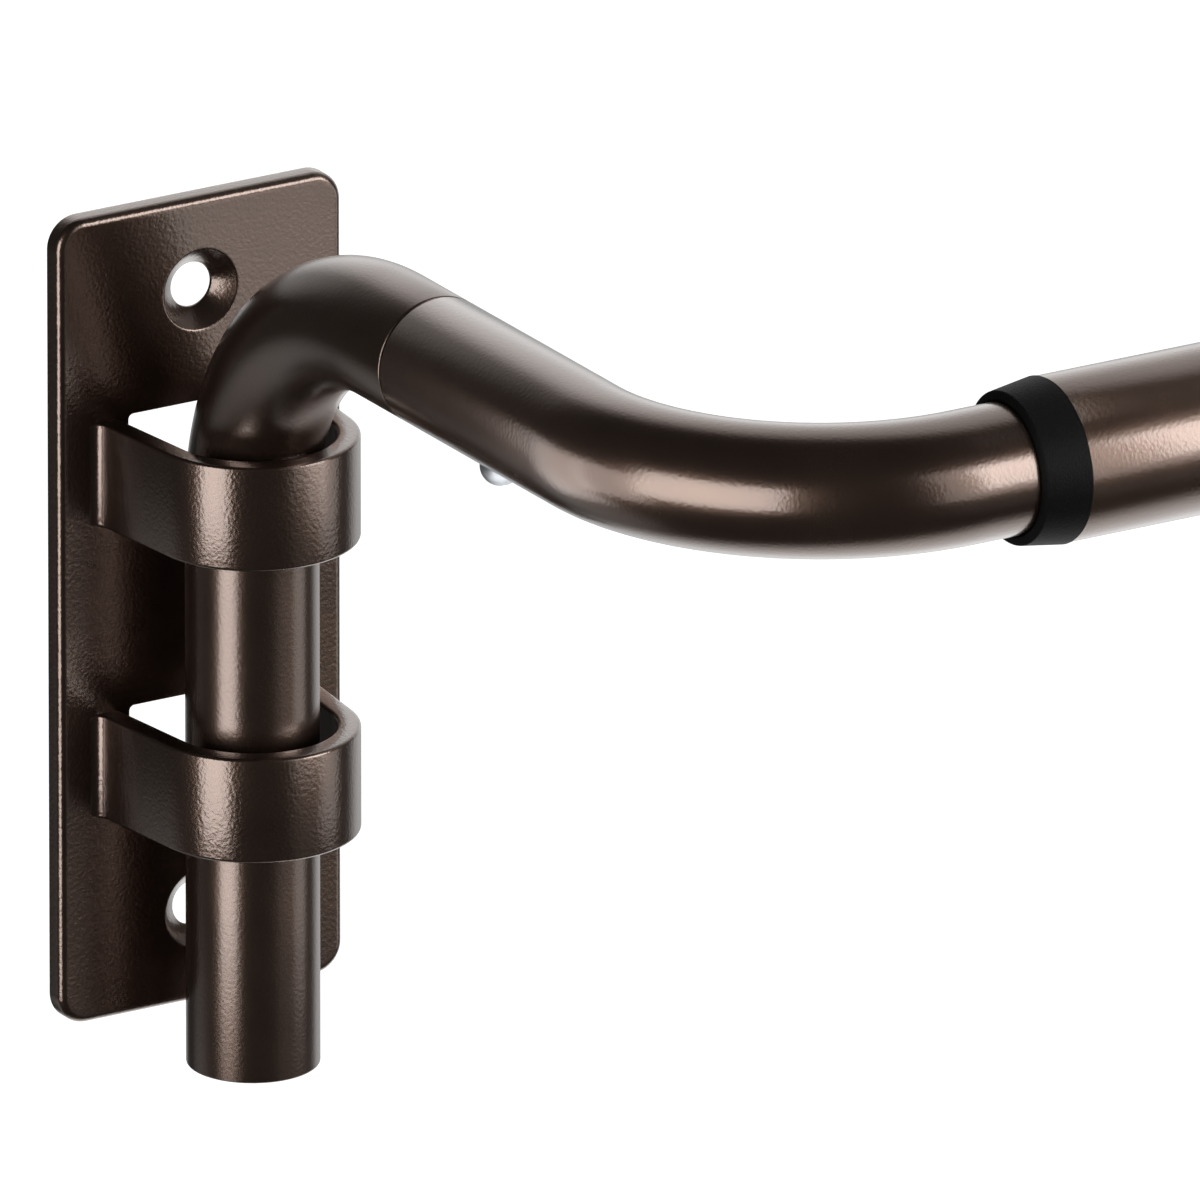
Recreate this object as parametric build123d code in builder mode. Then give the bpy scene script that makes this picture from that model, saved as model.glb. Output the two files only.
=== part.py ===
from build123d import *
from math import cos, radians, sin, sqrt, tan
import os

# Wrap-around curtain rod, closed to its shortest length, with a bent arm at each end
# whose upright stem drops into two loops pressed out of a wall plate.
# Millimetres. +X runs along the rod, +Y goes into the wall and +Z is up.
# The origin lies on the wall, midway between the four wall screws.

# Bracket plate
sheet = 2.2                  # steel sheet that the whole bracket is pressed from
plate_width = 31.0
plate_height = 80.5
plate_corner = 3.0
plate_edge = 0.8             # rounding along the front edge

# Wall screw holes, for 8 gauge countersunk wood screws
screw_rise = 31.0            # hole centre above and below the plate's middle
screw_hole = 4.4
screw_sink = 8.0             # diameter of the countersink
screw_sink_angle = 90

# Loops pressed out of the plate
loop_height = 10.4
loop_rise = 14.6             # loop centre above and below the plate's middle
loop_inner = 7.9             # inner radius of the round part
loop_flare = 6.0             # degrees that each leg spreads towards the plate
root_bend = 1.2              # inside radius where a leg leaves the plate
loop_edge = 0.35             # rounding of the sheared edges
shear_gap = 0.15             # slit left above and below each strap
window_corner = 0.5
window_land = 0.3            # flat left between the root bend and the window's end

# Tubes
arm_radius = 6.35            # half inch arm tube
arm_wall = 0.8
centre_radius = 7.9375       # five eighths inch centre tube
centre_wall = 0.7
bend_radius = 25.4           # centreline of both bends
stem_standoff = 9.4          # plate front to the stem's axis
stem_slack = 0.3             # the loops' centre lies this far in front of the stem's axis
stem_below = 63.2            # stem end below the top of the upper loop
seat_gap = 0.12              # between the bend and the loop it hangs on
reach = 86.4                 # stem axis to rod axis
tube_edge = 0.25             # rounding of a tube's outer end edge

# Joint between the elbow and the return
seam_place = 34.0            # from the stem's axis, along the return
seam_gap = 0.25
spigot_fit = 0.05
spigot_back = 8.0            # length held in the elbow
spigot_front = 19.0          # length held in the return tube
lock_place = 45.6            # from the stem's axis to the lock screw
lock_shank = 1.25
lock_fit = 0.05
lock_clear = 0.2             # the wall's hole is this much wider in radius than the shank
lock_head = 1.97
lock_head_rise = 2.32
lock_head_dome = 1.92         # part of the rise that is domed
lock_depth = 7.0             # shank length under the head
recess_width = 0.6
recess_reach = 2.2
recess_depth = 1.0

# Telescope
extension = 254.0            # that each arm draws out
overlap_left = 50.8          # of an arm still inside when fully drawn out
inner_end_gap = 31.6         # between the two arms inside the closed rod
tube_mouth = 9.6             # from the second bend to the centre tube
slide_fit = 0.1

# Collar at each mouth of the centre tube
collar_length = 4.8
collar_slant = 0.3           # the face's outer edge lies this far behind its bore
collar_front = 7.35
collar_back = 8.0
collar_round = 0.15
collar_sleeve = 12.0
sleeve_fit = 0.05

# Glide in the inner end of each arm
glide_flange = 4.0
glide_plug = 10.0
glide_chamfer = 0.8
glide_bore = 3.6

# Places worked out from the sizes
stem_y = -(sheet + stem_standoff)
loop_y = stem_y - stem_slack
loop_outer = loop_inner + sheet
rod_y = stem_y - reach
loop_top = loop_rise + loop_height / 2
lip = bend_radius - (loop_inner + stem_slack)
hang = sqrt((bend_radius - arm_radius - seat_gap) ** 2 - lip ** 2)
rod_z = loop_top + bend_radius - hang
stem_end_z = loop_top - stem_below
arm_inside = extension + overlap_left
centre_length = 2 * arm_inside + inner_end_gap
bend_start = centre_length / 2 + tube_mouth
half_spacing = bend_start + bend_radius
flare = radians(loop_flare)
turn = radians(90 - loop_flare)
root_outside = root_bend + sheet
leg_back_x = loop_inner / cos(flare) - loop_y * tan(flare)
leg_front_x = loop_outer / cos(flare) - (loop_y + sheet) * tan(flare)
window_half = leg_back_x + root_outside * tan(turn / 2) + window_land
arm_bore = arm_radius - arm_wall
centre_bore = centre_radius - centre_wall
tube_start = centre_length / 2

os.makedirs("parts", exist_ok=True)


def save(piece, name):
    piece.label = name
    export_step(piece, "parts/" + name + ".step")


def wall_plane(side, y=0.0):
    """Plane that faces the room, centred on one bracket."""
    return Plane(origin=(side * half_spacing, y, 0), x_dir=(1, 0, 0), z_dir=(0, -1, 0))


def make_strap(side, z):
    """One loop: plate, root bend, leg, round front, leg, root bend, plate."""
    low = Plane(origin=(side * half_spacing, 0, z - loop_height / 2))
    outer_x, outer_y = loop_outer * cos(flare), loop_y - loop_outer * sin(flare)
    inner_x, inner_y = loop_inner * cos(flare), loop_y - loop_inner * sin(flare)
    with BuildPart() as strap:
        with BuildSketch(low):
            with BuildLine():
                Polyline((-window_half, 0), (-window_half, -sheet), (-leg_front_x, -sheet), (-outer_x, outer_y))
                ThreePointArc((-outer_x, outer_y), (0, loop_y - loop_outer), (outer_x, outer_y))
                Polyline((outer_x, outer_y), (leg_front_x, -sheet), (window_half, -sheet), (window_half, 0))
                Line((window_half, 0), (leg_back_x, 0))
                Line((leg_back_x, 0), (inner_x, inner_y))
                ThreePointArc((inner_x, inner_y), (0, loop_y - loop_inner), (-inner_x, inner_y))
                Line((-inner_x, inner_y), (-leg_back_x, 0))
                Line((-leg_back_x, 0), (-window_half, 0))
            make_face()
        extrude(amount=loop_height)
        upright = strap.edges().filter_by(Axis.Z)
        middle = side * half_spacing
        front_roots = [e for e in upright if abs(abs(e.center().X - middle) - leg_front_x) < 0.01
                       and abs(e.center().Y + sheet) < 0.01]
        back_roots = [e for e in upright if abs(abs(e.center().X - middle) - leg_back_x) < 0.01
                      and abs(e.center().Y) < 0.01]
        fillet(front_roots, root_bend)
        fillet(back_roots, root_outside)
        rims = [f for f in strap.faces().filter_by(Axis.Z)]
        fillet([e for f in rims for e in f.edges() if e.center().Y < -sheet - 0.01], loop_edge)
    return strap.part


def make_bracket(side):
    """Wall plate and its two loops, one stamping."""
    upper = make_strap(side, loop_rise)
    lower = make_strap(side, -loop_rise)
    front = wall_plane(side, -sheet)
    with BuildPart() as bracket:
        with BuildSketch(wall_plane(side)):
            RectangleRounded(plate_width, plate_height, plate_corner)
        extrude(amount=sheet)
        fillet(bracket.faces().sort_by(Axis.Y)[0].edges(), plate_edge)
        with BuildSketch(wall_plane(side)):
            with Locations((0, loop_rise), (0, -loop_rise)):
                RectangleRounded(2 * window_half, loop_height + 2 * shear_gap, window_corner)
        extrude(amount=sheet, mode=Mode.SUBTRACT)
        add(upper)
        add(lower)
        with Locations(front * Location((0, screw_rise, 0)), front * Location((0, -screw_rise, 0))):
            CounterSinkHole(screw_hole / 2, screw_sink / 2, depth=sheet, counter_sink_angle=screw_sink_angle)
    return bracket.part


def make_elbow(side):
    """Upright stem and the first bend, up to the seam."""
    x = side * half_spacing
    foot = (x, stem_y, stem_end_z)
    with BuildPart() as elbow:
        with BuildLine():
            FilletPolyline(foot, (x, stem_y, rod_z), (x, stem_y - seam_place, rod_z), radius=bend_radius)
        with BuildSketch(Plane(origin=foot)):
            Circle(arm_radius)
            Circle(arm_bore, mode=Mode.SUBTRACT)
        sweep()
        seam_face = elbow.faces().sort_by(Axis.Y)[0]
        foot_face = elbow.faces().sort_by(Axis.Z)[0]
        fillet([seam_face.edges().sort_by(SortBy.LENGTH)[-1], foot_face.edges().sort_by(SortBy.LENGTH)[-1]], tube_edge)
    return elbow.part


def make_return_tube(side):
    """Return, second bend and the long run that slides in the centre tube."""
    x = side * half_spacing
    seam_y = stem_y - seam_place - seam_gap
    inner_end = side * (tube_start - arm_inside)
    seam_plane = Plane(origin=(x, seam_y, rod_z), x_dir=(1, 0, 0), z_dir=(0, -1, 0))
    below = Plane(origin=(x, stem_y - lock_place, rod_z - arm_radius), x_dir=(1, 0, 0), z_dir=(0, 0, -1))
    with BuildPart() as tube:
        with BuildLine():
            FilletPolyline((x, seam_y, rod_z), (x, rod_y, rod_z), (inner_end, rod_y, rod_z), radius=bend_radius)
        with BuildSketch(seam_plane):
            Circle(arm_radius)
            Circle(arm_bore, mode=Mode.SUBTRACT)
        sweep()
        seam_face = tube.faces().sort_by(Axis.Y)[-1]
        fillet(seam_face.edges().sort_by(SortBy.LENGTH)[-1], tube_edge)
        with Locations(below):
            Hole(lock_shank + lock_clear, depth=arm_radius)
    return tube.part


def make_spigot(side):
    """Plug that joins the elbow and the return tube, tapped for the lock screw."""
    x = side * half_spacing
    back = Plane(origin=(x, stem_y - seam_place + spigot_back, rod_z), x_dir=(1, 0, 0), z_dir=(0, -1, 0))
    below = Plane(origin=(x, stem_y - lock_place, rod_z - arm_radius), x_dir=(1, 0, 0), z_dir=(0, 0, -1))
    with BuildPart() as spigot:
        with BuildSketch(back):
            Circle(arm_bore - spigot_fit)
        extrude(amount=spigot_back + spigot_front)
        chamfer(spigot.edges(), 2 * tube_edge)
        with Locations(below):
            Hole(lock_shank + lock_fit, depth=2 * arm_radius)
    return spigot.part


def make_lock_screw(side):
    """Domed screw under the return, with a cross recess."""
    x = side * half_spacing
    seat = -arm_radius
    place = (x, stem_y - lock_place, rod_z)
    crown = (lock_head ** 2 + lock_head_dome ** 2) / (2 * lock_head_dome)
    half_way = sqrt(crown ** 2 - (crown - lock_head_dome / 2) ** 2)
    tip = seat - lock_head_rise
    with BuildPart() as screw:
        with BuildSketch(Plane(origin=place, x_dir=(1, 0, 0), z_dir=(0, -1, 0))):
            with BuildLine():
                Line((0, tip), (0, seat + lock_depth))
                Line((0, seat + lock_depth), (lock_shank, seat + lock_depth))
                Line((lock_shank, seat + lock_depth), (lock_shank, seat))
                Line((lock_shank, seat), (lock_head, seat))
                Line((lock_head, seat), (lock_head, tip + lock_head_dome))
                ThreePointArc((lock_head, tip + lock_head_dome), (half_way, tip + lock_head_dome / 2), (0, tip))
            make_face()
        revolve(axis=Axis(place, (0, 0, 1)))
        with BuildSketch(Plane(origin=(x, stem_y - lock_place, rod_z + tip))):
            Rectangle(recess_reach, recess_width)
            Rectangle(recess_width, recess_reach)
        extrude(amount=recess_depth, mode=Mode.SUBTRACT)
    return screw.part


def make_collar(side):
    """Plastic ring on the mouth of the centre tube, with a sleeve inside the mouth."""
    mouth = Plane(origin=(side * tube_start, rod_y, rod_z), x_dir=(side, 0, 0), z_dir=(0, -side, 0))
    bore = arm_radius + slide_fit
    with BuildPart() as collar:
        with BuildSketch(mouth):
            with BuildLine():
                Polyline((-collar_sleeve, bore), (collar_length, bore), (collar_length - collar_slant, collar_front),
                         (0, collar_back), (0, centre_bore - sleeve_fit),
                         (-collar_sleeve, centre_bore - sleeve_fit), close=True)
            make_face()
            rim = [v for v in vertices() if abs(v.Y - collar_front) < 0.01]
            fillet(rim, collar_round)
        revolve(axis=Axis((0, rod_y, rod_z), (1, 0, 0)))
    return collar.part


def make_glide(side):
    """Plastic plug in the inner end of an arm, which runs in the centre tube's bore."""
    end = Plane(origin=(side * (tube_start - arm_inside), rod_y, rod_z), x_dir=(0, 1, 0), z_dir=(-side, 0, 0))
    with BuildPart() as glide:
        with BuildSketch(end):
            Circle(centre_bore - slide_fit)
        extrude(amount=glide_flange)
        chamfer(glide.edges().filter_by(GeomType.CIRCLE), glide_chamfer)
        with BuildSketch(end):
            Circle(arm_bore - spigot_fit)
        extrude(amount=-glide_plug)
        with Locations(end.offset(glide_flange)):
            Hole(glide_bore)
    return glide.part


def make_centre_tube():
    """Outer tube of the telescope."""
    with BuildPart() as tube:
        with BuildSketch(Plane(origin=(-tube_start, rod_y, rod_z), x_dir=(0, 1, 0), z_dir=(1, 0, 0))):
            Circle(centre_radius)
            Circle(centre_bore, mode=Mode.SUBTRACT)
        extrude(amount=centre_length)
    return tube.part


for side, word in ((-1, "left"), (1, "right")):
    save(make_bracket(side), word + "_bracket")
    save(make_elbow(side), word + "_end_elbow")
    save(make_spigot(side), word + "_joining_spigot")
    save(make_lock_screw(side), word + "_lock_screw")
    save(make_return_tube(side), word + "_return_tube")
    save(make_collar(side), word + "_collar")
    save(make_glide(side), word + "_end_glide")
save(make_centre_tube(), "centre_tube")
print("stem axis y", round(stem_y, 2), "rod y", round(rod_y, 2), "rod z", round(rod_z, 2))
print("stem end z", round(stem_end_z, 2), "half spacing", round(half_spacing, 2), "window half", round(window_half, 2))
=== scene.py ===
import bmesh
import bpy
import numpy as np
from mathutils import Matrix, Vector
from mathutils.geometry import delaunay_2d_cdt


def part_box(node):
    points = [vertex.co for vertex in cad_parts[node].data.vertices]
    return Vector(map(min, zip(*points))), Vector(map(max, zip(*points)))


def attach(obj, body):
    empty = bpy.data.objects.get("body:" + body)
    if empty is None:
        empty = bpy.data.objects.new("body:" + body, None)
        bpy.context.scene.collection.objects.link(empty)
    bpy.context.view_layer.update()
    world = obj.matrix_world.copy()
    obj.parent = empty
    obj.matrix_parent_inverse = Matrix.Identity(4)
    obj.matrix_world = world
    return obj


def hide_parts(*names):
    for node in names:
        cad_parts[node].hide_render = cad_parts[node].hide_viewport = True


# Wrap-around curtain rod: the looks of every piece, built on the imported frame.
# Metres, with the frame's axes: +X along the rod, +Y into the wall, +Z up.

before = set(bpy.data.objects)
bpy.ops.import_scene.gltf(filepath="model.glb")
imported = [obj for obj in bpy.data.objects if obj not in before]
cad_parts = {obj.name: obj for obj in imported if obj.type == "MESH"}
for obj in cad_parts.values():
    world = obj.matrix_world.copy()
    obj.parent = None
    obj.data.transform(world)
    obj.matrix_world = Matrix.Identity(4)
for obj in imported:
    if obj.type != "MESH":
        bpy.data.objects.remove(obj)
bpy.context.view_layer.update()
mm = 0.001
print("frame loaded")

# Places read from the frame

# Low and high corner of a node's box, as arrays.
def boxOf(node):
    low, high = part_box(node)
    return np.array(low, float), np.array(high, float)


# Middles, half widths and ends of one end's pieces, from their boxes; side is -1 at the left and 1 at the
# right.
def readPlaces(side, word):
    plateLow, plateHigh = boxOf(word + "_bracket")
    elbowLow, elbowHigh = boxOf(word + "_end_elbow")
    armLow, armHigh = boxOf(word + "_return_tube")
    collarLow, collarHigh = boxOf(word + "_collar")
    centreLow, centreHigh = boxOf("centre_tube")
    radius = (elbowHigh[0] - elbowLow[0]) / 2
    return {
        "side": side,
        "word": word,
        "plateX": (plateLow[0] + plateHigh[0]) / 2,
        "plateHalf": ((plateHigh[0] - plateLow[0]) / 2, (plateHigh[2] - plateLow[2]) / 2),
        "loopFront": plateLow[1],
        "stemX": (elbowLow[0] + elbowHigh[0]) / 2,
        "stemY": elbowHigh[1] - radius,
        "footZ": elbowLow[2],
        "seamY": elbowLow[1],
        "armRadius": radius,
        "armStartY": armHigh[1],
        "axisZ": (centreLow[2] + centreHigh[2]) / 2,
        "rodY": (centreLow[1] + centreHigh[1]) / 2,
        "innerEnd": armHigh[0] if side < 0 else armLow[0],
        "mouthX": side * centreHigh[0],
        "collarFront": collarLow[0] if side < 0 else collarHigh[0],
        "collarBack": (collarHigh[2] - collarLow[2]) / 2,
        "centreRadius": (centreHigh[2] - centreLow[2]) / 2,
    }


sides = [readPlaces(-1, "left"), readPlaces(1, "right")]

# Mesh helpers

# Points is an n by 3 array or a grid of such, faces a list of index lists; every face is shaded smooth.
def meshFrom(name, points, faces):
    mesh = bpy.data.meshes.new(name)
    mesh.from_pydata(np.asarray(points, float).reshape(-1, 3).tolist(), [], faces)
    mesh.validate()
    mesh.polygons.foreach_set("use_smooth", np.ones(len(mesh.polygons), bool))
    mesh.update()
    return mesh


# Quads of a grid, whose normal is the column direction crossed with the row direction.
def gridFaces(rows, columns, closeRows, closeColumns, start=0):
    i = np.arange(rows if closeRows else rows - 1)[:, None]
    j = np.arange(columns if closeColumns else columns - 1)[None, :]
    nextI, nextJ = (i + 1) % rows, (j + 1) % columns
    corners = [i * columns + j, i * columns + nextJ, nextI * columns + nextJ, nextI * columns + j]
    quads = np.stack(corners, -1)
    return (quads.reshape(-1, 4) + start).tolist()


# One object for one CAD node: it rides on the node's body, takes the node's place and the given material,
# and hides the node.
def addPiece(name, mesh, body, nodes, material):
    piece = bpy.data.objects.new(name, mesh)
    bpy.context.scene.collection.objects.link(piece)
    mesh.materials.append(material)
    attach(piece, body)
    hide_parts(*nodes)


# Closes the seams between patches that share an edge; the distance is in metres.
def weldMesh(mesh, distance=1e-6):
    work = bmesh.new()
    work.from_mesh(mesh)
    bmesh.ops.remove_doubles(work, verts=work.verts, dist=distance)
    work.to_mesh(mesh)
    work.free()
    mesh.update()


# Points on an arc: centre plus radius times (cos a, sin a), a from start to end in degrees.
def arcPoints(centre, radius, start, end, count):
    a = np.radians(np.linspace(start, end, count))
    return np.stack([centre[0] + radius * np.cos(a), centre[1] + radius * np.sin(a)], -1)


# Paths made of straight runs joined by one bend

# A run, an arc tangent to both runs, a run. Gives the function from distance to point and direction,
# the lengths of the three parts, and the normal of the plane that they lie in.
def bentPath(start, corner, end, radius):
    start, corner, end = (np.array(p, float) for p in (start, corner, end))
    d1 = (corner - start) / np.linalg.norm(corner - start)
    d2 = (end - corner) / np.linalg.norm(end - corner)
    turn = np.arccos(np.clip(d1 @ d2, -1, 1))
    setback = radius * np.tan(turn / 2)
    first = np.linalg.norm(corner - start) - setback
    arc = radius * turn
    last = np.linalg.norm(end - corner) - setback
    inward = d2 - (d1 @ d2) * d1
    inward /= np.linalg.norm(inward)
    centre = start + d1 * first + inward * radius

    def at(s):
        s = np.asarray(s, float)[:, None]
        angle = np.clip((s - first) / radius, 0, turn)
        bend = centre + radius * (np.sin(angle) * d1 - np.cos(angle) * inward)
        direction = np.cos(angle) * d1 + np.sin(angle) * inward
        straight = np.where(s < first, s - first, np.maximum(s - first - arc, 0))
        return bend + straight * direction, direction

    return at, first, arc, last, np.cross(d1, d2)


# A single run, start plus distance times direction, with the same answers as bentPath.
def straightPath(start, end, normal):
    start, end = np.array(start, float), np.array(end, float)
    length = np.linalg.norm(end - start)
    direction = (end - start) / length

    def at(s):
        s = np.asarray(s, float)[:, None]
        return start + s * direction, np.broadcast_to(direction, (len(s), 3))

    return at, length, 0.0, 0.0, np.array(normal, float)


# Tube wall: the closed meridian (distance, radius) turned about the path.
# Point = path(distance) + radius * (cos a * normal + sin a * (direction x normal)).
def tubeGrid(path, meridian, around):
    at, normal = path[0], path[4]
    place, direction = at(meridian[:, 0])
    side = np.cross(direction, normal)
    a = np.linspace(0, 2 * np.pi, around, endpoint=False)[None, :, None]
    ring = np.cos(a) * normal[None, None, :] + np.sin(a) * side[:, None, :]
    return place[:, None, :] + meridian[:, 1, None, None] * ring


# Half section of a tube: a quarter round rim, the outer wall, the other rim and the bore back.
# The wall has a ring at every bend step along the bend and few along the runs.
def tubeMeridian(path, outer, inner, startRound, endRound, t):
    _, first, arc, last, _ = path
    total = first + arc + last
    bendStep, straightStep = t["bendStep"] * mm, t["straightStep"] * mm
    stops = np.linspace(startRound, first, max(2, int(first / straightStep)))[:-1]
    if arc > 0:
        bend = np.linspace(first, first + arc, max(2, int(arc / bendStep)))[:-1]
        run = np.linspace(first + arc, total - endRound, max(2, int(last / straightStep) + 1))
        stops = np.concatenate([stops, bend, run])
    else:
        stops = np.append(stops, total - endRound)
    turn = np.radians(np.linspace(0, 90, t["rimSteps"]))
    endAlong = total - endRound + endRound * np.sin(turn)
    endOut = outer - endRound + endRound * np.cos(turn)
    startAlong = startRound - startRound * np.cos(turn)
    startOut = outer - startRound + startRound * np.sin(turn)
    inside = stops[1:-1]
    back = np.concatenate([[total], inside[::-1], [0.0]])
    return np.concatenate([
        np.stack([startAlong, startOut], -1),
        np.stack([inside, np.full(len(inside), outer)], -1),
        np.stack([endAlong, endOut], -1),
        np.stack([back, np.full(len(back), inner)], -1),
    ])


# The meridian turned about the path, as a closed mesh.
def tubeMesh(name, path, outer, inner, startRound, endRound, t):
    grid = tubeGrid(path, tubeMeridian(path, outer, inner, startRound, endRound, t), t["around"])
    return meshFrom(name, grid, gridFaces(grid.shape[0], grid.shape[1], True, True))


# Materials

# sRGB hex to linear RGBA.
def hexColour(text):
    c = np.array([int(text[i:i + 2], 16) for i in (1, 3, 5)]) / 255
    c = np.where(c <= 0.04045, c / 12.92, ((c + 0.055) / 1.055) ** 2.4)
    return (*c.tolist(), 1.0)


# One node with its settings; an input is a value or an output socket to link from.
# An input is named with its spaces as underscores, or by its number after "at".
def addNode(tree, kind, settings=None, **inputs):
    node = tree.nodes.new(kind)
    for key, value in (settings or {}).items():
        setattr(node, key, value)
    for key, value in inputs.items():
        socket = node.inputs[int(key[2:])] if key.startswith("at") else node.inputs[key.replace("_", " ")]
        if isinstance(value, bpy.types.NodeSocket):
            tree.links.new(value, socket)
        else:
            socket.default_value = value
    return node


# An empty material with its output node.
def newMaterial(name):
    material = bpy.data.materials.new(name)
    material.use_nodes = True
    tree = material.node_tree
    tree.nodes.clear()
    output = addNode(tree, "ShaderNodeOutputMaterial")
    return material, tree, output


# Powder coat over steel: dark brown with metal flake under a satin clear resin.
# It gives soft warm highlights, near black between them and a fine orange peel.
powderCoat = {
    "flakeDark": "#513e34",
    "flakeLight": "#614c3f",
    "flakeSize": 6.0,          # mm, slow change of tone
    "flakeDetail": 3.0,
    "metallic": 0.92,          # a little resin between the flakes
    "roughness": 0.24,
    "roughChange": 0.05,
    "peelSize": 0.35,          # mm between the peel's bumps
    "peelHeight": 0.011,       # mm
    "peelDetail": 1.5,
    "peelFine": 0.45,          # share of the finer bumps on the peel
    "gritSize": 0.16,          # mm, drawn coarser than the powder's own grain so that it shows
    "gritHeight": 0.0022,      # mm
    "gritDetail": 1.0,
    "clear": 1.0,
    "clearIndex": 1.6,
    "clearRoughness": 0.17,
}


# Peel is a factor on the height of the bumps, and rough is added to both roughnesses.
def makePowderCoat(name, coat, peel, rough=0.0):
    material, tree, output = newMaterial(name)
    place = addNode(tree, "ShaderNodeTexCoord").outputs["Object"]
    tone = addNode(tree, "ShaderNodeTexNoise", Vector=place, Scale=1 / (coat["flakeSize"] * mm),
                   Detail=coat["flakeDetail"])
    colour = addNode(tree, "ShaderNodeMix", {"data_type": "RGBA"}, Factor=tone.outputs["Fac"],
                     at6=hexColour(coat["flakeDark"]), at7=hexColour(coat["flakeLight"]))
    rougher = addNode(tree, "ShaderNodeMapRange", Value=tone.outputs["Fac"],
                      To_Min=coat["roughness"] + rough,
                      To_Max=coat["roughness"] + coat["roughChange"] + rough)
    peelNoise = addNode(tree, "ShaderNodeTexNoise", Vector=place, Scale=1 / (coat["peelSize"] * mm),
                        Detail=coat["peelDetail"], Roughness=coat["peelFine"])
    gritNoise = addNode(tree, "ShaderNodeTexNoise", Vector=place, Scale=1 / (coat["gritSize"] * mm),
                        Detail=coat["gritDetail"])
    peelBump = addNode(tree, "ShaderNodeBump", Strength=1.0, Distance=coat["peelHeight"] * peel * mm,
                       Height=peelNoise.outputs["Fac"])
    gritBump = addNode(tree, "ShaderNodeBump", Strength=1.0, Distance=coat["gritHeight"] * peel * mm,
                       Height=gritNoise.outputs["Fac"], Normal=peelBump.outputs["Normal"])
    shader = addNode(tree, "ShaderNodeBsdfPrincipled", Base_Color=colour.outputs[2],
                     Metallic=coat["metallic"], Roughness=rougher.outputs["Result"],
                     Coat_Weight=coat["clear"], Coat_IOR=coat["clearIndex"],
                     Coat_Roughness=coat["clearRoughness"] + rough,
                     Normal=gritBump.outputs["Normal"], Coat_Normal=peelBump.outputs["Normal"])
    tree.links.new(shader.outputs["BSDF"], output.inputs["Surface"])
    return material


# Moulded nylon, spark eroded mould: near black, matt, with a fine even grain.
blackNylon = {
    "colour": "#010101",
    "colourLight": "#080808",
    "roughLow": 0.44,
    "roughHigh": 0.58,
    "shine": 0.08,             # specular level, low because the grain breaks up the shine
    "grainSize": 0.2,          # mm
    "grainHeight": 0.05,       # mm
    "grainDetail": 2.0,
}


# The grain changes colour, roughness and height together.
def makeBlackNylon(n):
    material, tree, output = newMaterial("grainedBlackNylon")
    place = addNode(tree, "ShaderNodeTexCoord").outputs["Object"]
    grain = addNode(tree, "ShaderNodeTexNoise", Vector=place, Scale=1 / (n["grainSize"] * mm),
                    Detail=n["grainDetail"])
    colour = addNode(tree, "ShaderNodeMix", {"data_type": "RGBA"}, Factor=grain.outputs["Fac"],
                     at6=hexColour(n["colour"]), at7=hexColour(n["colourLight"]))
    bump = addNode(tree, "ShaderNodeBump", Strength=1.0, Distance=n["grainHeight"] * mm,
                   Height=grain.outputs["Fac"])
    rougher = addNode(tree, "ShaderNodeMapRange", Value=grain.outputs["Fac"], To_Min=n["roughLow"],
                      To_Max=n["roughHigh"])
    shader = addNode(tree, "ShaderNodeBsdfPrincipled", Base_Color=colour.outputs[2],
                     Roughness=rougher.outputs["Result"], Specular_IOR_Level=n["shine"],
                     Normal=bump.outputs["Normal"])
    tree.links.new(shader.outputs["BSDF"], output.inputs["Surface"])
    return material


# Finishes of the small pieces, with fine marks of turning or moulding as uneven colour and roughness.
# Zinc plated steel is bright and a little blue, bare steel greyer, and acetal off-white and waxy.
smallFinish = {
    "markHeight": 0.002,       # mm, as is markSize below
    "markDetail": 4.0,
    "zincPlatedSteel": {"light": "#c9ccd0", "dull": "#a9adb2", "low": 0.42, "high": 0.52,
                        "metallic": 1.0, "markSize": 0.5},
    "turnedSteel": {"light": "#8d8e90", "dull": "#747577", "low": 0.3, "high": 0.45,
                    "metallic": 1.0, "markSize": 0.5},
    "acetalPlug": {"light": "#d6d3c8", "dull": "#cbc8bd", "low": 0.4, "high": 0.5,
                   "metallic": 0.0, "markSize": 1.0},
}


# The marks mix the light and the dull colour, and the low and the high roughness.
def makeSmallFinish(name):
    s = smallFinish[name]
    material, tree, output = newMaterial(name)
    place = addNode(tree, "ShaderNodeTexCoord").outputs["Object"]
    marks = addNode(tree, "ShaderNodeTexNoise", Vector=place, Scale=1 / (s["markSize"] * mm),
                    Detail=smallFinish["markDetail"])
    colour = addNode(tree, "ShaderNodeMix", {"data_type": "RGBA"}, Factor=marks.outputs["Fac"],
                     at6=hexColour(s["dull"]), at7=hexColour(s["light"]))
    rougher = addNode(tree, "ShaderNodeMapRange", Value=marks.outputs["Fac"], To_Min=s["low"],
                      To_Max=s["high"])
    bump = addNode(tree, "ShaderNodeBump", Strength=1.0, Distance=smallFinish["markHeight"] * mm,
                   Height=marks.outputs["Fac"])
    shader = addNode(tree, "ShaderNodeBsdfPrincipled", Base_Color=colour.outputs[2],
                     Metallic=s["metallic"], Roughness=rougher.outputs["Result"],
                     Normal=bump.outputs["Normal"])
    tree.links.new(shader.outputs["BSDF"], output.inputs["Surface"])
    return material


coatPressed = makePowderCoat("bronzePowderCoatPressed", powderCoat, peel=2.2, rough=0.02)
coatTube = makePowderCoat("bronzePowderCoatTube", powderCoat, peel=1.15)
coatElbow = makePowderCoat("bronzePowderCoatElbow", powderCoat, peel=1.1, rough=0.05)
nylon = makeBlackNylon(blackNylon)
zinc = makeSmallFinish("zincPlatedSteel")
bareSteel = makeSmallFinish("turnedSteel")
acetal = makeSmallFinish("acetalPlug")
print("materials made")

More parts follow.
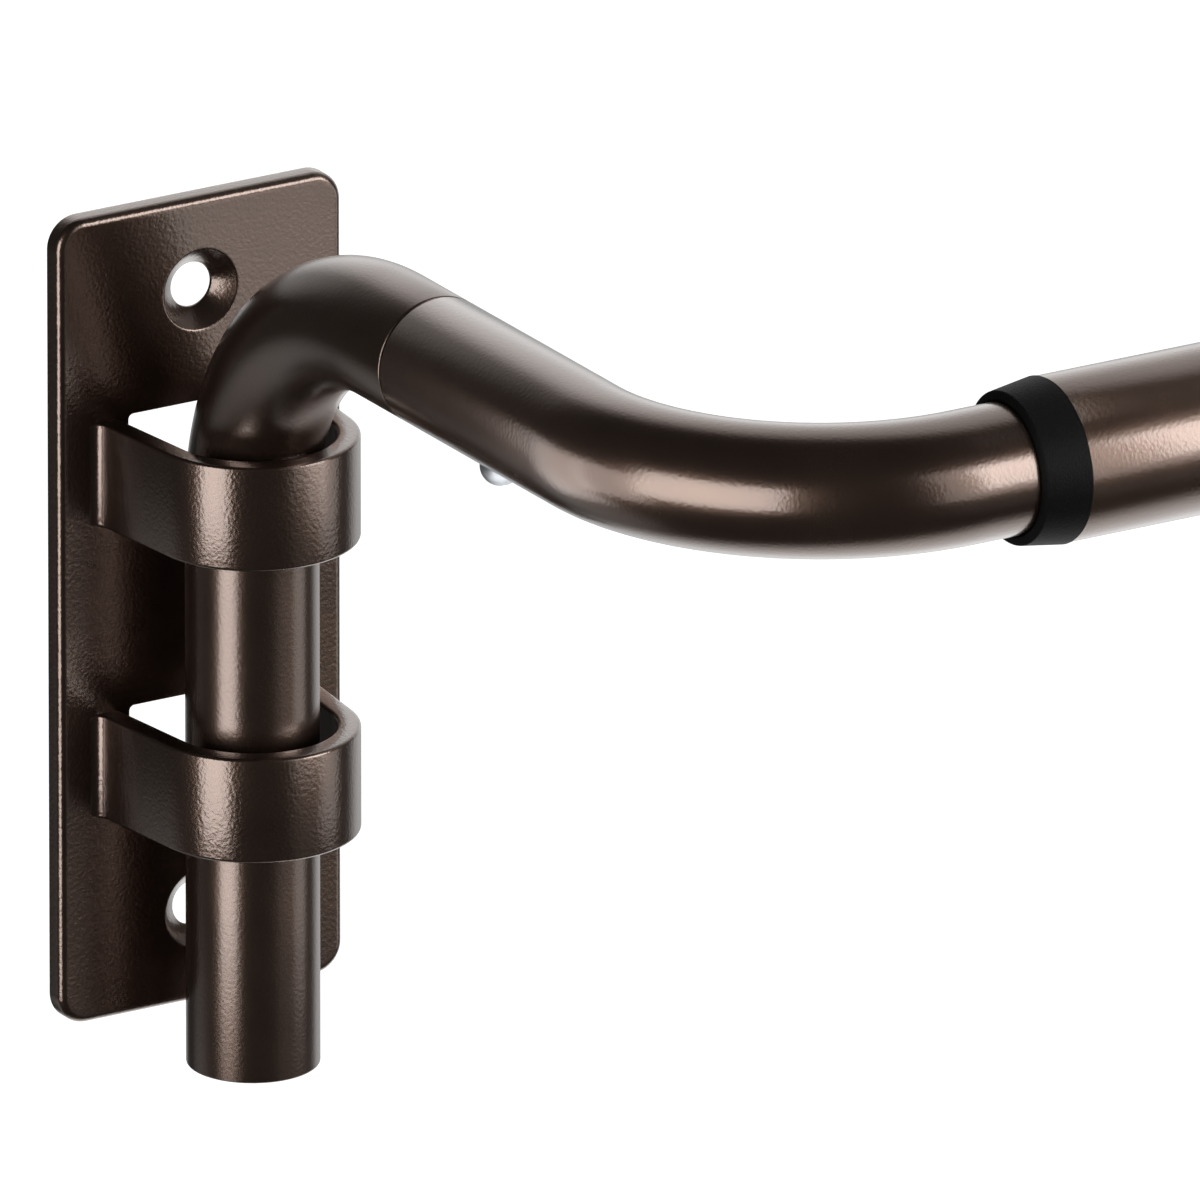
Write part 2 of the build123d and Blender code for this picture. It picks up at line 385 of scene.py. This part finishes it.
# Bracket: a pressed plate and the two loops pressed out of it; sizes in mm, flare in degrees
bracket = {
    "sheet": 2.2,
    "corner": 3.0,
    "frontEdge": 0.8,
    "backEdge": 0.12,
    "support": 0.3,            # flat ring beside each rim, which keeps the flat faces' shading flat
    "holeRise": 31.0,
    "holeRadius": 2.2,
    "holeAround": 72,
    "sinkRadius": 4.0,
    "loopRise": 14.6,
    "loopHeight": 10.4,
    "loopInner": 7.9,
    "flare": 6.0,
    "rootBend": 1.2,
    "strapEdge": 0.35,
    "shearGap": 0.15,
    "windowCorner": 0.5,
    "windowLand": 0.3,
    "windowClose": 4.7,        # the window is shorter by this at each end, as in the photograph
    "cutEdge": 0.12,
    "buried": 0.35,            # how far a strap's ends run on inside the plate
    "inset": 0.012,            # and how far they lie under its faces there
    "cornerSteps": 14,         # points on the plate's corners
    "smallCornerSteps": 6,     # and on those of the windows and straps
    "rimSteps": 9,
    "cutSteps": 4,
    "strapSteps": {"flat": 5, "root": 16, "leg": 8, "front": 72},
}


# Rounded rectangle: a quarter circle about each corner's centre, starting at +X and turning towards +Z.
# It has the same number of points whatever its size.
def roundRect(halfX, halfZ, corner, perCorner):
    a = np.radians(np.linspace(0, 90, perCorner))
    quarter = np.stack([np.cos(a), np.sin(a)], -1) * corner
    turns = []
    for k, (sx, sz) in enumerate(((1, 1), (-1, 1), (-1, -1), (1, -1))):
        c, s = np.cos(k * np.pi / 2), np.sin(k * np.pi / 2)
        turned = quarter @ np.array([[c, s], [-s, c]])
        turns.append(turned + [sx * (halfX - corner), sz * (halfZ - corner)])
    return np.concatenate(turns)


# Points given by x and z, at depth y.
def atDepth(flat, y):
    return np.stack([flat[:, 0], np.full(len(flat), y), flat[:, 1]], -1)


# Grid with one outline per step of a profile; outlines are x and z, depths are y.
def carryProfile(outlines, depths):
    return np.stack([atDepth(outline, y) for outline, y in zip(outlines, depths)])


# Triangles inside the outer outline and outside the holes, at depth y; forward faces towards -Y.
def fillFlat(outer, holes, y, forward):
    loops = [outer] + holes
    points = np.concatenate(loops)
    faces, start = [], 0
    for loop in loops:
        faces.append(list(range(start, start + len(loop))))
        start += len(loop)
    edges = [(f[i], f[(i + 1) % len(f)]) for f in faces for i in range(len(f))]
    result = delaunay_2d_cdt([Vector(p) for p in points.tolist()], edges, [], 0, 1e-9)
    verts = np.array([list(v) for v in result[0]])
    tris = np.array([list(f) for f in result[2]])
    middles = verts[tris].mean(1)
    keep = insideOutline(middles, outer)
    for hole in holes:
        keep &= ~insideOutline(middles, hole)
    tris = tris[keep]
    a, b, c = verts[tris[:, 0]], verts[tris[:, 1]], verts[tris[:, 2]]
    area = (b[:, 0] - a[:, 0]) * (c[:, 1] - a[:, 1]) - (b[:, 1] - a[:, 1]) * (c[:, 0] - a[:, 0])
    # a turn from +X to +Z faces towards -Y
    flip = (area < 0) if forward else (area > 0)
    tris[flip] = tris[flip][:, ::-1]
    return atDepth(verts, y), tris


# A point is inside where a ray from it towards +X crosses the outline an odd number of times.
def insideOutline(points, outline):
    x, z = points[:, 0, None], points[:, 1, None]
    x0, z0 = outline[:, 0], outline[:, 1]
    x1, z1 = np.roll(x0, -1), np.roll(z0, -1)
    crosses = (z0 > z) != (z1 > z)
    span = np.where(z1 == z0, 1.0, z1 - z0)
    hit = x < (x1 - x0) * (z - z0) / span + x0
    return ((crosses & hit).sum(1) % 2) == 1


# Plate about its own middle, in metres: two flat faces, the rim, the windows and the countersunk holes.
# Rim, windows and holes are each one outline carried through the sheet, in or out by a profile.
def plateShape(b, half):
    t = b["sheet"] * mm
    support = b["support"] * mm
    edge, back, cut = b["frontEdge"] * mm, b["backEdge"] * mm, b["cutEdge"] * mm
    corner = b["corner"] * mm
    points, faces = [], []

    def add(grid, flipped=False):
        start = sum(len(p) for p in points)
        quads = gridFaces(grid.shape[0], grid.shape[1], False, True, start)
        if flipped:
            quads = [q[::-1] for q in quads]
        points.append(grid.reshape(-1, 3))
        faces.extend(quads)

    # rim: inset and depth along the profile, front face to back face
    turn = np.radians(np.linspace(90, 0, b["rimSteps"]))
    backTurn = turn[::-2]
    inset = np.concatenate([
        [edge + support], edge - edge * np.cos(turn), [0.0],
        back - back * np.cos(backTurn), [back + support],
    ])
    depth = np.concatenate([
        [-t], -t + edge - edge * np.sin(turn), [-2 * back],
        -back + back * np.sin(backTurn), [0.0],
    ])
    # a corner keeps at least a tenth of its radius
    rims = [
        roundRect(half[0] - d, half[1] - d, corner - min(d, corner * 0.9), b["cornerSteps"])
        for d in inset
    ]
    add(carryProfile(rims, depth), flipped=True)
    # windows: outset and depth in the same way
    flare = np.radians(b["flare"])
    loopY = frameLoopY(b)
    backX = (b["loopInner"] / np.cos(flare) - loopY * np.tan(flare)) * mm
    halfTurn = np.tan(np.radians(90 - b["flare"]) / 2)
    windowX = backX + ((b["rootBend"] + b["sheet"]) * halfTurn + b["windowLand"]) * mm
    shownX = windowX - b["windowClose"] * mm
    windowZ = (b["loopHeight"] / 2 + b["shearGap"]) * mm
    windowCorner = b["windowCorner"] * mm
    cutTurn = np.radians(np.linspace(90, 0, b["cutSteps"]))
    cutBack = cutTurn[::-1]
    outset = np.concatenate([
        [cut + support], cut - cut * np.cos(cutTurn), cut - cut * np.cos(cutBack), [cut + support],
    ])
    cutDepth = np.concatenate([
        [-t], -t + cut - cut * np.sin(cutTurn), -cut + cut * np.sin(cutBack), [0.0],
    ])
    frontHoles, backHoles = [], []
    for rise in (b["loopRise"], -b["loopRise"]):
        shapes = [
            roundRect(shownX + d, windowZ + d, windowCorner + d, b["smallCornerSteps"]) + [0, rise * mm]
            for d in outset
        ]
        add(carryProfile(shapes, cutDepth))
        frontHoles.append(shapes[0])
        backHoles.append(shapes[-1])
    # screw holes: radius and depth of each ring, front to back; shares of the cut edge break the corners
    a = np.linspace(0, 2 * np.pi, b["holeAround"], endpoint=False)
    unit = np.stack([np.cos(a), np.sin(a)], -1)
    sink, hole = b["sinkRadius"] * mm, b["holeRadius"] * mm
    coneDepth = sink - hole
    rings = (
        (sink + support, -t),
        (sink + cut, -t),
        (sink + 0.3 * cut, -t + 0.12 * cut),
        (sink - 0.6 * cut, -t + 0.7 * cut),
        (hole + 0.5 * cut, -t + coneDepth - 0.4 * cut),
        (hole, -t + coneDepth + 0.3 * cut),
        (hole, -cut),
        (hole + 0.4 * cut, -0.3 * cut),
        (hole + cut, 0.0),
        (hole + support, 0.0),
    )
    for rise in (b["holeRise"], -b["holeRise"]):
        shapes = [unit * radius + [0, rise * mm] for radius, _ in rings]
        add(carryProfile(shapes, [level for _, level in rings]))
        frontHoles.append(shapes[0])
        backHoles.append(shapes[-1])
    for outline, holes, y, forward in ((rims[0], frontHoles, -t, True), (rims[-1], backHoles, 0.0, False)):
        start = sum(len(p) for p in points)
        flat, tris = fillFlat(outline, holes, y, forward)
        points.append(flat)
        faces.extend((tris + start).tolist())
    return np.concatenate(points), faces, windowX


# Depth of the loops' centre in mm: the box's front lies a loop's outer radius ahead of it.
def frameLoopY(b):
    return sides[0]["loopFront"] / mm + b["loopInner"] + b["sheet"]


# Middle line of a strap in plan, in mm: plate, root bend, leg, round front, leg, root bend, plate.
# Each bend is an arc about its own centre, so the curve has a direction everywhere.
def strapPath(b, windowX):
    steps = b["strapSteps"]
    t, flare = b["sheet"], np.radians(b["flare"])
    loopY = frameLoopY(b)
    middle = b["loopInner"] + t / 2
    legX = middle / np.cos(flare) - (loopY + t / 2) * np.tan(flare)
    radius = b["rootBend"] + t / 2
    setback = radius * np.tan(np.radians(90 - b["flare"]) / 2)
    end = windowX / mm + b["buried"]
    flatX = np.linspace(-end, -legX - setback, steps["flat"])
    flat = np.stack([flatX, np.full(steps["flat"], -t / 2)], -1)
    root = arcPoints((-legX - setback, -t / 2 - radius), radius, 90, b["flare"], steps["root"])
    touch = np.array([-middle * np.cos(flare), loopY - middle * np.sin(flare)])
    leg = root[-1] + (touch - root[-1]) * np.linspace(0, 1, steps["leg"])[1:-1, None]
    front = arcPoints((0, loopY), middle, 180 + b["flare"], 360 - b["flare"], steps["front"])
    half = np.concatenate([flat, root[1:], leg])
    mirrored = half[::-1] * [-1, 1]
    return np.concatenate([half, front, mirrored])


# Rounded section carried along the strap's middle line: point = path + across * normal, at the section's
# height. Near its ends the section is thinner by the inset, so that it lies just under the plate's faces.
def strapShape(b, windowX, rise):
    path = strapPath(b, windowX)
    direction = np.gradient(path, axis=0)
    direction /= np.linalg.norm(direction, axis=1)[:, None]
    normal = np.stack([direction[:, 1], -direction[:, 0]], -1)
    halfSheet = b["sheet"] / 2
    slack = 0.02               # mm
    ends = np.abs(path[:, 0]) > windowX / mm - b["windowLand"] - slack
    thin = np.where(ends & (path[:, 1] > -b["sheet"]), b["inset"], 0.0)
    section = roundRect(halfSheet, b["loopHeight"] / 2, b["strapEdge"], b["smallCornerSteps"])
    across = section[None, :, 0] * (1 - thin[:, None] / halfSheet)
    x = path[:, 0, None] + normal[:, 0, None] * across
    y = path[:, 1, None] + normal[:, 1, None] * across
    z = np.broadcast_to(section[None, :, 1] + rise, x.shape)
    return np.stack([x, y, z], -1) * mm


# The plate and both straps in one mesh; each end of a strap is closed by one face.
def makeBracket(place):
    plate, faces, windowX = plateShape(bracket, place["plateHalf"])
    points = [plate]
    for rise in (bracket["loopRise"], -bracket["loopRise"]):
        grid = strapShape(bracket, windowX, rise)
        start = sum(len(p) for p in points)
        count = grid.shape[1]
        faces.extend([q[::-1] for q in gridFaces(grid.shape[0], count, False, True, start)])
        faces.append(list(range(start, start + count)))
        last = start + (grid.shape[0] - 1) * count
        faces.append(list(range(last, last + count))[::-1])
        points.append(grid.reshape(-1, 3))
    word = place["word"]
    mesh = meshFrom(word + "Bracket", np.concatenate(points) + [place["plateX"], 0, 0], faces)
    weldMesh(mesh)
    addPiece(word + "Bracket", mesh, word + "_bracket", [word + "_bracket"],
             coatPressed)


for place in sides:
    makeBracket(place)
print("brackets made")

# Tubes: sizes in mm
tube = {
    "around": 96,
    "bendStep": 0.8,
    "straightStep": 12.0,
    "rimSteps": 5,
    "armWall": 0.8,
    "centreWall": 0.7,
    "bendRadius": 25.4,
    "footEdge": 0.25,
    "seamEdge": 0.2,
    "returnEdge": 0.1,
    "mouthEdge": 0.05,
}


# The elbow from the foot of the stem to the seam, and the return from the seam into the centre tube.
def makeArm(place):
    r, wall = place["armRadius"], tube["armWall"] * mm
    bend = tube["bendRadius"] * mm
    foot, seam, start = tube["footEdge"] * mm, tube["seamEdge"] * mm, tube["returnEdge"] * mm
    x, z = place["stemX"], place["axisZ"]
    stemY, rodY = place["stemY"], place["rodY"]
    word = place["word"]
    elbowPath = bentPath((x, stemY, place["footZ"]), (x, stemY, z), (x, place["seamY"], z), bend)
    elbow = tubeMesh(word + "EndElbow", elbowPath, r, r - wall, foot, seam, tube)
    addPiece(word + "EndElbow", elbow, word + "_arm", [word + "_end_elbow"], coatElbow)
    armPath = bentPath((x, place["armStartY"], z), (x, rodY, z), (place["innerEnd"], rodY, z), bend)
    arm = tubeMesh(word + "ReturnTube", armPath, r, r - wall, start, foot, tube)
    addPiece(word + "ReturnTube", arm, word + "_arm", [word + "_return_tube"], coatTube)


# The wider tube from one mouth to the other.
def makeCentreTube(place):
    r, wall = place["centreRadius"], tube["centreWall"] * mm
    reach, y, z = abs(place["mouthX"]), place["rodY"], place["axisZ"]
    path = straightPath((-reach, y, z), (reach, y, z), (0, 0, 1))
    mouth = tube["mouthEdge"] * mm
    mesh = tubeMesh("centreTube", path, r, r - wall, mouth, mouth, tube)
    addPiece("centreTube", mesh, "centre", ["centre_tube"], coatTube)


for place in sides:
    makeArm(place)
makeCentreTube(sides[0])
print("tubes made")

# Collar: a slanted ring with a sleeve inside the tube's mouth; sizes in mm
collar = {
    "boreGap": 0.1,
    "frontRadius": 7.35,
    "slant": 0.3,              # the face's outer edge lies this far behind its bore
    "frontEdge": 0.15,
    "boreEdge": 0.12,
    "backEdge": 0.14,          # the dark line beside the tube's mouth
    "sleeve": 12.0,
    "sleeveRadius": 7.1875,
    "around": 160,
    "frontSteps": 7,
    "boreSteps": 5,
    "sharpAngle": 35.0,        # degrees
}


# Closed profile (distance along the axis, radius) turned about the axis.
def turnedGrid(profile, origin, axis, normal, around):
    axis, normal = np.array(axis, float), np.array(normal, float)
    side = np.cross(axis, normal)
    a = np.linspace(0, 2 * np.pi, around, endpoint=False)[None, :, None]
    ring = np.cos(a) * normal + np.sin(a) * side
    along, out = profile[:, 0, None, None], profile[:, 1, None, None]
    return np.array(origin, float) + along * axis + out * ring


# Arc tangent to both sides of a corner of a profile, about a centre on the corner's inner side.
def roundCorner(before, corner, after, radius, count):
    before, corner, after = (np.array(p, float) for p in (before, corner, after))
    d1 = (corner - before) / np.linalg.norm(corner - before)
    d2 = (after - corner) / np.linalg.norm(after - corner)
    turn = np.arccos(np.clip(d1 @ d2, -1, 1))
    inward = d2 - (d1 @ d2) * d1
    inward /= np.linalg.norm(inward)
    start = corner - d1 * radius * np.tan(turn / 2)
    a = np.linspace(0, turn, count)[:, None]
    return start + inward * radius + radius * (np.sin(a) * d1 - np.cos(a) * inward)


# The profile runs from the sleeve's inner end along its outside to the face, and back through the bore.
def makeCollar(place):
    c = collar
    word = place["word"]
    length = abs(place["collarFront"] - place["mouthX"]) / mm
    bore = place["armRadius"] / mm + c["boreGap"]
    back = place["collarBack"] / mm
    backEdge, boreFront = (c["backEdge"], back), (length, bore)
    rim = (length - c["slant"], c["frontRadius"])
    profile = np.concatenate([
        [[-c["sleeve"], bore], [-c["sleeve"], c["sleeveRadius"]], [0.0, c["sleeveRadius"]]],
        [[0.0, back - c["backEdge"]], backEdge],
        roundCorner(backEdge, rim, boreFront, c["frontEdge"], c["frontSteps"]),
        roundCorner(rim, boreFront, (-c["sleeve"], bore), c["boreEdge"], c["boreSteps"]),
    ]) * mm
    origin = (place["mouthX"], place["rodY"], place["axisZ"])
    grid = turnedGrid(profile, origin, (place["side"], 0, 0), (0, 0, 1), c["around"])
    mesh = meshFrom(word + "Collar", grid, gridFaces(grid.shape[0], grid.shape[1], True, True))
    mesh.set_sharp_from_angle(angle=np.radians(c["sharpAngle"]))
    addPiece(word + "Collar", mesh, "centre", [word + "_collar"], nylon)


for place in sides:
    makeCollar(place)
print("collars made")

# Small pieces that keep their own solids
for place in sides:
    word = place["word"]
    for node, material in (("_lock_screw", zinc), ("_joining_spigot", bareSteel), ("_end_glide", acetal)):
        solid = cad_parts[word + node]
        solid.data.materials.clear()
        solid.data.materials.append(material)
print("small pieces finished")

# Studio
studio = {
    "floorDrop": 0.55,         # metres below the frame's origin
    "floorHalf": 2.2,          # metres
    "floorSteps": 9,
    "floorColour": "#e7e7e7",
    "floorGlow": 0.88,         # lifts the floor to white for the camera
    "backdrop": "#ffffff",
    "aimAlong": 50.0,          # mm along the rod from the left bracket to where the softboxes aim
    "dark": 0.045,             # level of the room between its bright parts
    # bright parts of the room: azimuth, elevation, full within, gone beyond (degrees), level
    "room": (
        (138.0, 30.0, 16.0, 40.0, 1.25),
        (125.0, -60.0, 10.0, 42.0, 1.7),
        (112.0, -6.0, 6.0, 26.0, 1.0),
        (80.0, 35.0, 8.0, 30.0, 0.4),
        (-138.0, -42.0, 6.0, 26.0, 0.42),
        (172.0, 18.0, 10.0, 32.0, 0.5),
        (31.0, -22.0, 8.0, 22.0, 0.12),
        (149.0, -12.0, 12.0, 30.0, 0.55),
    ),
}


# Unit vector from angles in degrees: azimuth 0 looks out into the room along -Y, 90 along +X.
def aimVector(azimuth, elevation):
    a, e = np.radians(azimuth), np.radians(elevation)
    return np.array([np.sin(a) * np.cos(e), -np.cos(a) * np.cos(e), np.sin(e)])


# Level towards a direction: the dark level plus each bright part's own, faded out by the angle from it.
# The camera sees the white backdrop instead, also through clear things.
def makeWorld(s):
    world = bpy.data.worlds.new("studio")
    bpy.context.scene.world = world
    world.use_nodes = True
    tree = world.node_tree
    tree.nodes.clear()
    output = addNode(tree, "ShaderNodeOutputWorld")
    direction = addNode(tree, "ShaderNodeTexCoord").outputs["Generated"]
    level = s["dark"]
    for azimuth, elevation, full, gone, light in s["room"]:
        aim = Vector(aimVector(azimuth, elevation).tolist())
        dot = addNode(tree, "ShaderNodeVectorMath", {"operation": "DOT_PRODUCT"}, at0=direction, at1=aim)
        near, far = float(np.cos(np.radians(full))), float(np.cos(np.radians(gone)))
        part = addNode(tree, "ShaderNodeMapRange", {"interpolation_type": "SMOOTHSTEP"},
                       Value=dot.outputs["Value"], From_Min=far, From_Max=near, To_Max=light)
        level = addNode(tree, "ShaderNodeMath", at0=part.outputs["Result"], at1=level).outputs["Value"]
    around = addNode(tree, "ShaderNodeBackground", Strength=level)
    white = addNode(tree, "ShaderNodeBackground", Color=hexColour(s["backdrop"]), Strength=1.0)
    path = addNode(tree, "ShaderNodeLightPath")
    seen = addNode(tree, "ShaderNodeMath", {"operation": "MAXIMUM"}, at0=path.outputs["Is Camera Ray"],
                   at1=path.outputs["Is Transmission Ray"])
    mix = addNode(tree, "ShaderNodeMixShader", at0=seen.outputs["Value"], at1=around.outputs["Background"],
                  at2=white.outputs["Background"])
    tree.links.new(mix.outputs["Shader"], output.inputs["Surface"])


# Plain pale floor, a flat grid: the camera sees it as white with the object's shadow, and the metal's
# reflections pass through it.
def makeFloor(s):
    half, z, count = s["floorHalf"], -s["floorDrop"], s["floorSteps"]
    steps = np.linspace(-half, half, count)
    x, y = np.meshgrid(steps, steps)
    grid = np.stack([x, y, np.full_like(x, z)], -1)
    floor = bpy.data.objects.new("floor", meshFrom("floor", grid, gridFaces(count, count, False, False)))
    bpy.context.scene.collection.objects.link(floor)
    material, tree, output = newMaterial("paleStudioFloor")
    diffuse = addNode(tree, "ShaderNodeBsdfDiffuse", Color=hexColour(s["floorColour"]))
    glow = addNode(tree, "ShaderNodeEmission", Color=hexColour(s["backdrop"]), Strength=s["floorGlow"])
    both = addNode(tree, "ShaderNodeAddShader", at0=diffuse.outputs["BSDF"], at1=glow.outputs["Emission"])
    clear = addNode(tree, "ShaderNodeBsdfTransparent")
    path = addNode(tree, "ShaderNodeLightPath")
    seen = addNode(tree, "ShaderNodeMixShader", at0=path.outputs["Is Camera Ray"],
                   at1=diffuse.outputs["BSDF"], at2=both.outputs["Shader"])
    mirrored = addNode(tree, "ShaderNodeMixShader", at0=path.outputs["Is Glossy Ray"],
                       at1=seen.outputs["Shader"], at2=clear.outputs["BSDF"])
    tree.links.new(mirrored.outputs["Shader"], output.inputs["Surface"])
    floor.data.materials.append(material)


# A soft rectangular lamp that looks from its place to aimAt. Its power is four times radiance times area,
# and it lights its receivers alone, or everything where none are named.
def addSoftbox(name, place, aimAt, width, height, radiance, receivers):
    wattsPerRadiance = 4
    lamp = bpy.data.lights.new(name, "AREA")
    lamp.shape = "RECTANGLE"
    lamp.size, lamp.size_y = width, height
    lamp.energy = radiance * wattsPerRadiance * width * height
    box = bpy.data.objects.new(name, lamp)
    bpy.context.scene.collection.objects.link(box)
    box.location = place
    box.rotation_euler = Vector(aimAt - place).to_track_quat("-Z", "Y").to_euler()
    box.visible_camera = False
    if receivers:
        group = bpy.data.collections.new(name + "Receivers")
        for piece in receivers:
            group.objects.link(bpy.data.objects[piece])
        box.light_linking.receiver_collection = group


# azimuth and elevation in degrees, distance, width and height in metres, radiance
softboxes = {
    "leftWide": (-68.0, 3.0, 3.0, 2.9, 2.2, 3.4),
    "leftNarrow": (-74.0, -1.0, 3.0, 1.65, 2.8, 4.1),
    "leftTail": (-106.0, -9.0, 3.0, 1.5, 2.0, 1.5),
    "frontBox": (38.5, 13.0, 3.0, 1.45, 1.9, 4.5),
    "frontSoft": (31.0, 10.5, 3.0, 2.4, 2.75, 1.0),
    "elbowSpot": (-83.0, -46.0, 3.0, 0.9, 0.9, 2.2),
    "rightFill": (58.0, -16.0, 3.0, 1.3, 1.0, 0.9),
    "frontFill": (-22.0, 20.0, 3.0, 3.2, 1.3, 2.0),
    "topFill": (0.0, 80.0, 3.0, 2.0, 2.0, 1.2),
}

# small cards near the left end: place and aim in mm from the middle of its bracket,
# width and height in metres, radiance
cards = {
    "bendCard": ((-88.0, -6.5, 4.0), (2.0, -82.0, 37.0), 0.042, 0.088, 1.6),
    "bendSoft": ((-88.0, -6.5, 4.0), (2.0, -82.0, 37.0), 0.064, 0.11, 1.0),
    "plateCard": ((63.0, -91.0, -2.0), (10.0, -2.0, 34.0), 0.042, 0.036, 0.8),
    "screwCard": ((-200.0, -330.0, -370.0), (0.0, -57.0, 29.0), 0.9, 0.7, 1.8),
}

# which pieces each lamp lights, where that isn't all of them
endPieces = ["leftBracket", "leftEndElbow"]
farPieces = ["leftCollar", "centreTube", "rightCollar", "rightReturnTube", "rightEndElbow", "rightBracket"]
lampPieces = {
    "leftWide": ["leftReturnTube"] + farPieces,
    "leftNarrow": endPieces,
    "leftTail": ["leftReturnTube"],
    "frontFill": farPieces,
    "topFill": farPieces,
    "elbowSpot": ["leftEndElbow"],
    "bendCard": ["leftReturnTube"],
    "bendSoft": ["leftReturnTube"],
    "plateCard": ["leftBracket"],
    "screwCard": [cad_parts["left_lock_screw"].name],
}

makeWorld(studio)
makeFloor(studio)
leftPlate = np.array([sides[0]["plateX"], 0.0, 0.0])
leftEnd = leftPlate + [studio["aimAlong"] * mm, sides[0]["rodY"] / 2, 0.0]
for name, (azimuth, elevation, distance, width, height, radiance) in softboxes.items():
    addSoftbox(name, leftEnd + aimVector(azimuth, elevation) * distance, leftEnd, width, height, radiance,
               lampPieces.get(name))
for name, (place, aim, width, height, radiance) in cards.items():
    addSoftbox(name, leftPlate + np.array(place) * mm, leftPlate + np.array(aim) * mm, width, height,
               radiance, lampPieces.get(name))
print("studio made")

# Camera: a long lens from the front left, as in the photograph
camera = {
    "azimuth": -30.95,
    "elevation": 20.1,
    "distance": 5.241,         # to the point where the stem's axis meets the return's
    "pixelsPerMm": 10.6533,    # at that point, in the 1200 pixel frame
    "pixel": (251.4, 255.7),   # where that point lies in the frame
    "frame": 1200.0,           # pixels
    "sensor": 36.0,            # mm
    "clip": (0.1, 50.0),
}


# The eye lies back from the target along the view, shifted aside and up so that the target falls on its
# pixel.
def makeCamera(c, target):
    back = aimVector(c["azimuth"], c["elevation"])
    angle = np.radians(c["azimuth"])
    right = np.array([np.cos(angle), np.sin(angle), 0.0])
    up = np.cross(back, right)
    focal = c["pixelsPerMm"] / mm * c["distance"]
    middle = c["frame"] / 2
    aside = (c["pixel"][0] - middle) / focal * c["distance"]
    above = -(c["pixel"][1] - middle) / focal * c["distance"]
    eye = np.array(target) - aside * right - above * up + c["distance"] * back
    data = bpy.data.cameras.new("camera")
    data.sensor_width = c["sensor"]
    data.lens = focal * c["sensor"] / c["frame"]
    data.clip_start, data.clip_end = c["clip"]
    eyeObject = bpy.data.objects.new("camera", data)
    bpy.context.scene.collection.objects.link(eyeObject)
    axes = Matrix([right.tolist(), up.tolist(), back.tolist()]).transposed().to_4x4()
    eyeObject.matrix_world = Matrix.Translation(Vector(eye.tolist())) @ axes
    bpy.context.scene.camera = eyeObject


makeCamera(camera, (sides[0]["stemX"], sides[0]["stemY"], sides[0]["axisZ"]))
bpy.context.scene.view_settings.view_transform = "Standard"
print("camera set")

bpy.context.view_layer.update()
